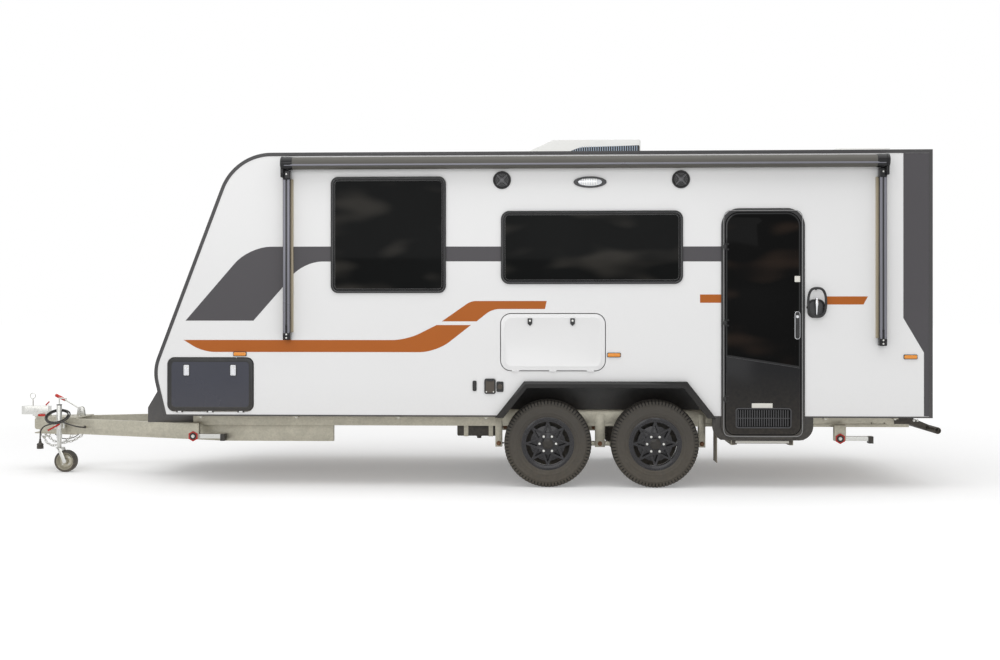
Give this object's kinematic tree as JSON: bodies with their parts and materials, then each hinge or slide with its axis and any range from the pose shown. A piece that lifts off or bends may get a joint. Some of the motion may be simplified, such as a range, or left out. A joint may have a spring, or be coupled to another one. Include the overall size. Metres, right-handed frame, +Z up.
{
  "type": "travel caravan",
  "caption": "Tandem-axle travel caravan with a slanted front, side windows, glazed entry door, roller awning, A-frame drawbar and jockey wheel.",
  "frame": {"origin": "on the ground, on the centreline of the body, halfway along the whole caravan", "axes": "+X to the rear, +Z up, the entry door on the left side towards -Y"},
  "size_m": [8.3514, 2.537, 3.061],
  "materials": {
    "alloy_black": "satin black paint",
    "amber_lens": "amber lens",
    "axle_black": "satin black paint",
    "black_paint": "satin black paint",
    "black_plastic": "satin black",
    "boot_lid": "satin black skin",
    "chrome_trim": "bright",
    "dark_frame": "satin dark grey",
    "dark_vinyl": "rolled dark grey vinyl",
    "door_glass": "gloss black",
    "edge_trim": "satin dark grey",
    "floor_board": "sealed plywood",
    "galvanised": "hot dip galvanised",
    "gloss_black": "gloss black",
    "jockey_rubber": "solid rubber tread",
    "lead_rubber": "black",
    "locker_grey": "satin dark grey",
    "red_lens": "red lens",
    "roof_skin": "white composite skin",
    "table_skin": "gloss white skin",
    "tank_black": "black",
    "tinted_pane": "dark tint",
    "tyre_rubber": "new tyre",
    "wall_skin": "gloss white composite skin",
    "white_plastic": "white",
    "zinc_cast": "zinc plated"
  },
  "bodies": {
    "root": {"air_conditioner": "white_plastic", "awning_arms": "dark_frame", "awning_lamp": "chrome_trim", "awning_roller": "dark_vinyl", "axles": "axle_black", "bumper": "black_paint", "chassis_frame": "galvanised", "chassis_outriggers": "galvanised", "coupling": "zinc_cast", "door_frame": "dark_frame", "drawbar": "galvanised", "edge_trims": "edge_trim", "floor": "floor_board", "front_wall": "wall_skin", "gas_locker": "locker_grey", "grab_handle": "black_plastic", "handbrake": "zinc_cast", "jockey_clamp": "galvanised", "leaf_springs": "axle_black", "left_wall": "wall_skin", "marker_lamps": "amber_lens", "mud_flaps": "lead_rubber", "rear_wall": "wall_skin", "right_wall": "wall_skin", "roof": "roof_skin", "service_inlets": "black_plastic", "side_vents": "white_plastic", "spring_rockers": "galvanised", "steady_brackets": "galvanised", "step_well": "black_plastic", "tail_lamps": "red_lens", "trailer_lead": "lead_rubber", "trailer_lead_coil": "lead_rubber", "trailer_plug": "black_plastic", "wall_speakers": "black_plastic", "water_tank": "tank_black", "wheel_arches": "gloss_black", "window_frames": "black_plastic", "window_panes": "tinted_pane"},
    "front_left_wheel": {"tyre_front_left": "tyre_rubber", "wheel_front_left": "alloy_black"},
    "front_right_wheel": {"tyre_front_right": "tyre_rubber", "wheel_front_right": "alloy_black"},
    "rear_left_wheel": {"tyre_rear_left": "tyre_rubber", "wheel_rear_left": "alloy_black"},
    "rear_right_wheel": {"tyre_rear_right": "tyre_rubber", "wheel_rear_right": "alloy_black"},
    "jockey_leg": {"jockey_leg": "galvanised"},
    "jockey_fork": {"jockey_fork": "zinc_cast"},
    "jockey_wheel": {"jockey_wheel": "jockey_rubber"},
    "entry_door": {"entry_door": "door_glass"},
    "boot_lid_left": {"boot_lid_left": "boot_lid"},
    "boot_lid_right": {"boot_lid_right": "boot_lid"},
    "picnic_table": {"picnic_table": "table_skin"},
    "entry_step": {"entry_step": "galvanised"},
    "roof_hatch_lid": {"roof_hatch_lid": "white_plastic"},
    "steady_front_left": {"steady_front_left": "galvanised"},
    "steady_rear_left": {"steady_rear_left": "galvanised"},
    "steady_front_right": {"steady_front_right": "galvanised"},
    "steady_rear_right": {"steady_rear_right": "galvanised"}
  },
  "joints": [
    {"name": "front_left_wheel_spin", "type": "hinge", "parent": "root", "child": "front_left_wheel", "pos_m": [0.857, -1.0475, 0.3725], "axis": [0, 1, 0], "continuous": true},
    {"name": "front_right_wheel_spin", "type": "hinge", "parent": "root", "child": "front_right_wheel", "pos_m": [0.857, 1.0475, 0.3725], "axis": [0, 1, 0], "continuous": true},
    {"name": "rear_left_wheel_spin", "type": "hinge", "parent": "root", "child": "rear_left_wheel", "pos_m": [1.767, -1.0475, 0.3725], "axis": [0, 1, 0], "continuous": true},
    {"name": "rear_right_wheel_spin", "type": "hinge", "parent": "root", "child": "rear_right_wheel", "pos_m": [1.767, 1.0475, 0.3725], "axis": [0, 1, 0], "continuous": true},
    {"name": "jockey_slide", "type": "slide", "parent": "root", "child": "jockey_leg", "axis": [0, 0, 1], "range_m": [0, 0.075]},
    {"name": "jockey_swivel", "type": "hinge", "parent": "jockey_leg", "child": "jockey_fork", "pos_m": [-3.718, -0.23983, 0.22], "axis": [0, 0, 1], "continuous": true},
    {"name": "jockey_spin", "type": "hinge", "parent": "jockey_fork", "child": "jockey_wheel", "pos_m": [-3.652, -0.23983, 0.1025], "axis": [0, 1, 0], "continuous": true},
    {"name": "door_hinge", "type": "hinge", "parent": "root", "child": "entry_door", "pos_m": [2.3495, -1.199, 1.4], "axis": [0, 0, -1], "range_deg": [0, 110]},
    {"name": "boot_hinge_left", "type": "hinge", "parent": "root", "child": "boot_lid_left", "pos_m": [-2.029, -1.187, 0.6395], "axis": [1, 0, 0], "range_deg": [0, 105]},
    {"name": "boot_hinge_right", "type": "hinge", "parent": "root", "child": "boot_lid_right", "pos_m": [-2.029, 1.187, 0.6395], "axis": [-1, 0, 0], "range_deg": [0, 105]},
    {"name": "picnic_table_hinge", "type": "hinge", "parent": "root", "child": "picnic_table", "pos_m": [0.9, -1.187, 0.9905], "axis": [1, 0, 0], "range_deg": [0, 90]},
    {"name": "step_slide", "type": "slide", "parent": "root", "child": "entry_step", "axis": [0, -1, 0], "range_m": [0, 0.24]},
    {"name": "hatch_hinge", "type": "hinge", "parent": "root", "child": "roof_hatch_lid", "pos_m": [3.466, 0, 2.891], "axis": [0, -1, 0], "range_deg": [0, 70]},
    {"name": "steady_front_left_fold", "type": "hinge", "parent": "root", "child": "steady_front_left", "pos_m": [-2.262, -0.866, 0.4], "axis": [0, 1, 0], "range_deg": [0, 80]},
    {"name": "steady_rear_left_fold", "type": "hinge", "parent": "root", "child": "steady_rear_left", "pos_m": [3.375, -0.866, 0.4], "axis": [0, 1, 0], "range_deg": [0, 80]},
    {"name": "steady_front_right_fold", "type": "hinge", "parent": "root", "child": "steady_front_right", "pos_m": [-2.262, 0.866, 0.4], "axis": [0, 1, 0], "range_deg": [0, 80]},
    {"name": "steady_rear_right_fold", "type": "hinge", "parent": "root", "child": "steady_rear_right", "pos_m": [3.375, 0.866, 0.4], "axis": [0, 1, 0], "range_deg": [0, 80]}
  ]
}
